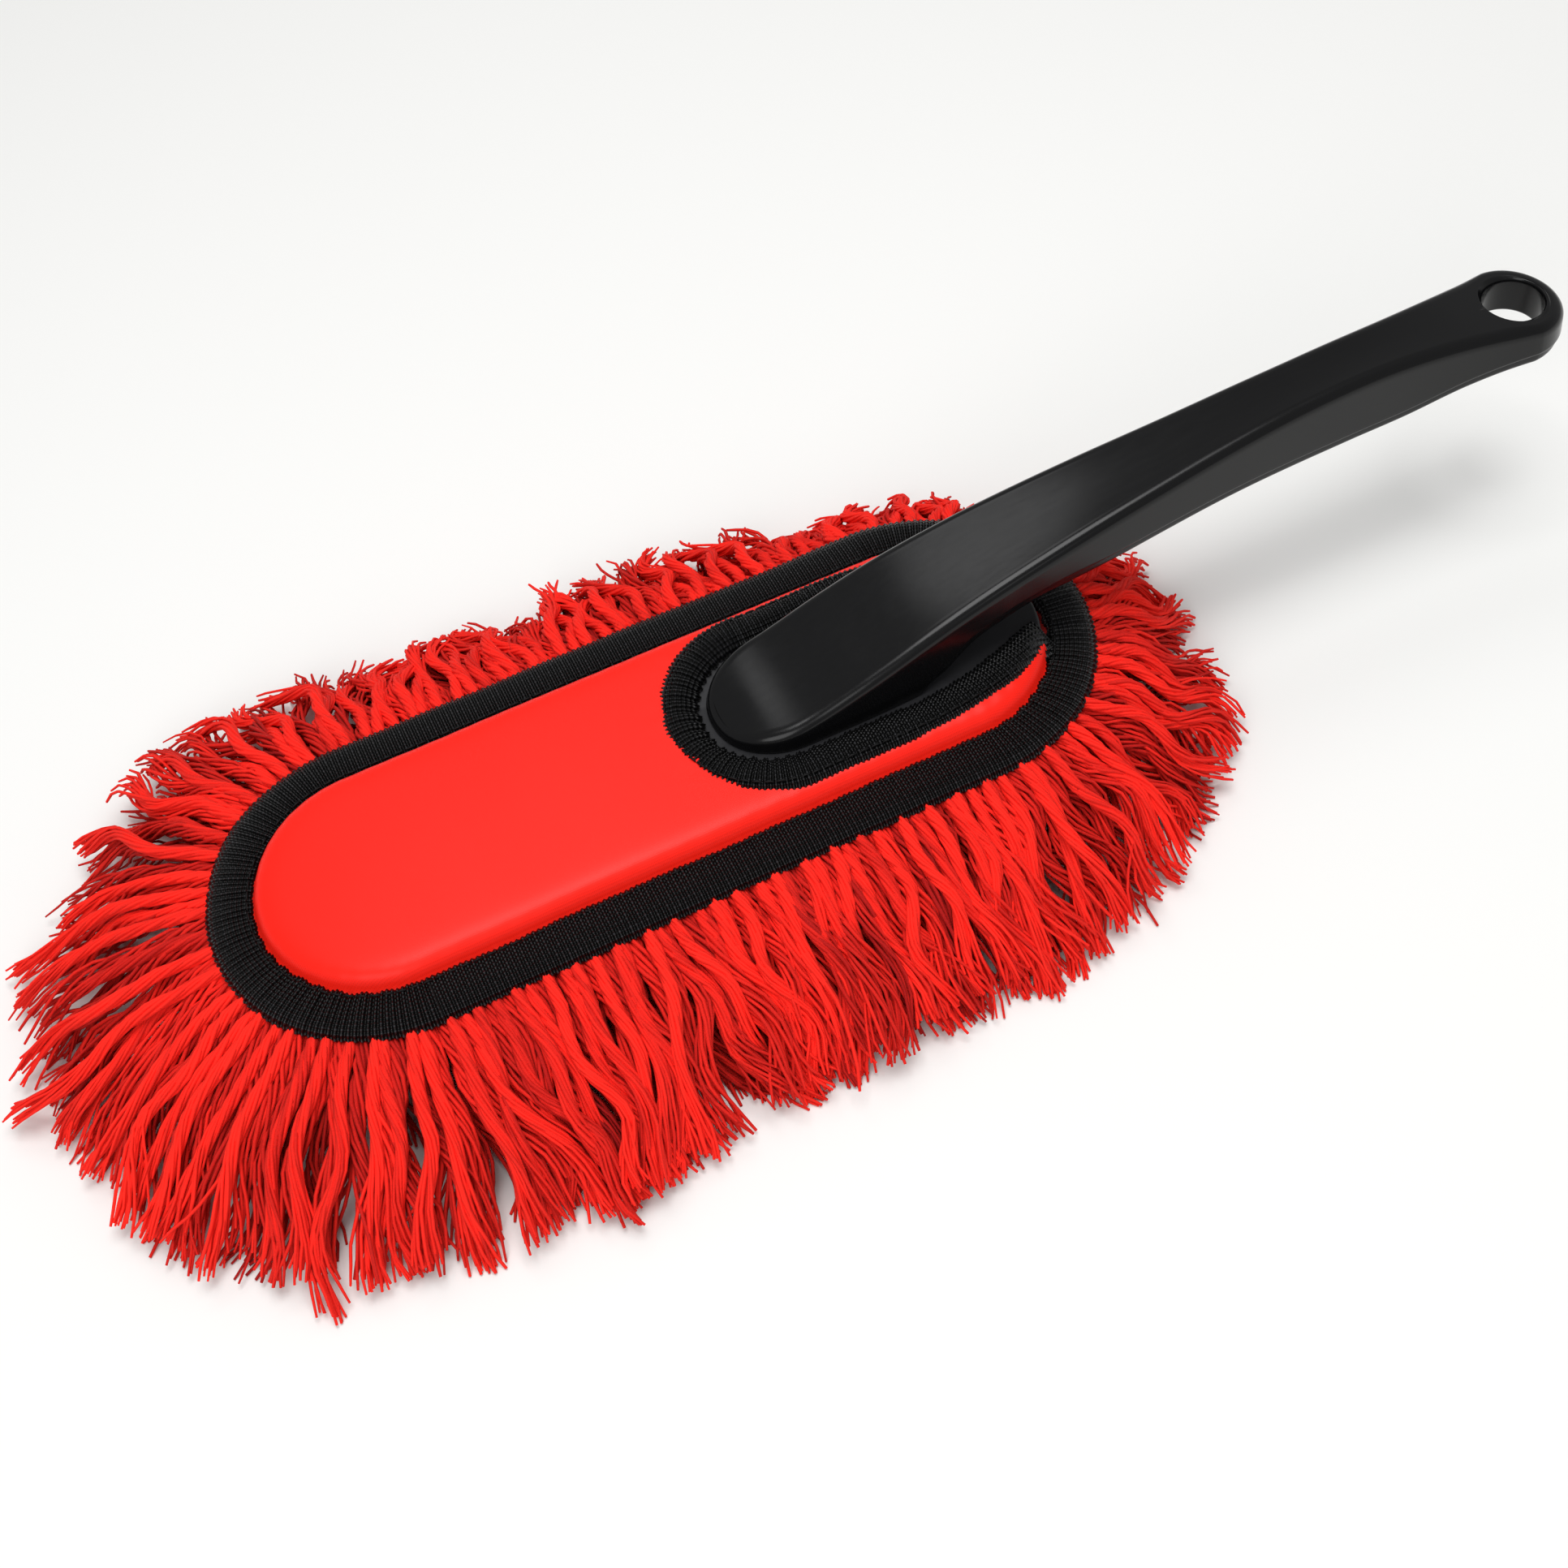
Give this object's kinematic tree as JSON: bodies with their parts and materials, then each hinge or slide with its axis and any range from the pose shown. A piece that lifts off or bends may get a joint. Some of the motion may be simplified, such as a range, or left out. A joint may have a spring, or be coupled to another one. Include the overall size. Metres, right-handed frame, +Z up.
{
  "type": "cotton mop duster",
  "caption": "Hand duster with a curved plastic handle on a flat paddle, inside a removable oval fabric cover fringed with soft cotton strands.",
  "frame": {"origin": "on the surface the duster rests on, under the middle of its whole length and width", "axes": "+X along the head towards the end of the handle, +Z up, +Y across the head"},
  "size_m": [0.437, 0.195, 0.0728],
  "materials": {
    "gloss_shell": "glossy black moulded polypropylene",
    "paddle_plastic": "matt black moulded polypropylene",
    "screw_steel": "zinc-plated self-tapping screw",
    "cover_fabric": "tight woven red polyester with a satin face",
    "foam": "thin polyurethane foam sheet",
    "backing_canvas": "woven red cotton canvas",
    "binding_tape": "ribbed black grosgrain tape",
    "elastic": "flat woven elastic",
    "black_thread": "black sewing thread",
    "red_thread": "red sewing thread",
    "cotton_strand": "soft red twisted cotton yarn with frayed ends"
  },
  "bodies": {
    "handle_frame": {"handle_upper_shell": "gloss_shell", "handle_lower_shell": "gloss_shell", "handle_screws": "screw_steel", "paddle": "paddle_plastic", "paddle_screws": "screw_steel"},
    "mop_cover": {"top_panel": "cover_fabric", "foam_pad": "foam", "backing_panel": "backing_canvas", "edge_binding": "binding_tape", "edge_stitching": "black_thread", "slot_binding": "binding_tape", "slot_elastic": "elastic", "slot_stitching": "black_thread", "row_stitching": "red_thread", "fringe_edge_upper": "cotton_strand", "fringe_edge_lower": "cotton_strand", "fringe_row_outer": "cotton_strand", "fringe_row_middle": "cotton_strand", "fringe_row_centre": "cotton_strand"}
  },
  "joints": [
    {"name": "cover_pull", "type": "slide", "parent": "handle_frame", "child": "mop_cover", "axis": [-1, 0, 0], "range_m": [0, 0.3], "deforming": ["top_panel", "slot_binding", "slot_elastic", "slot_stitching"]}
  ]
}
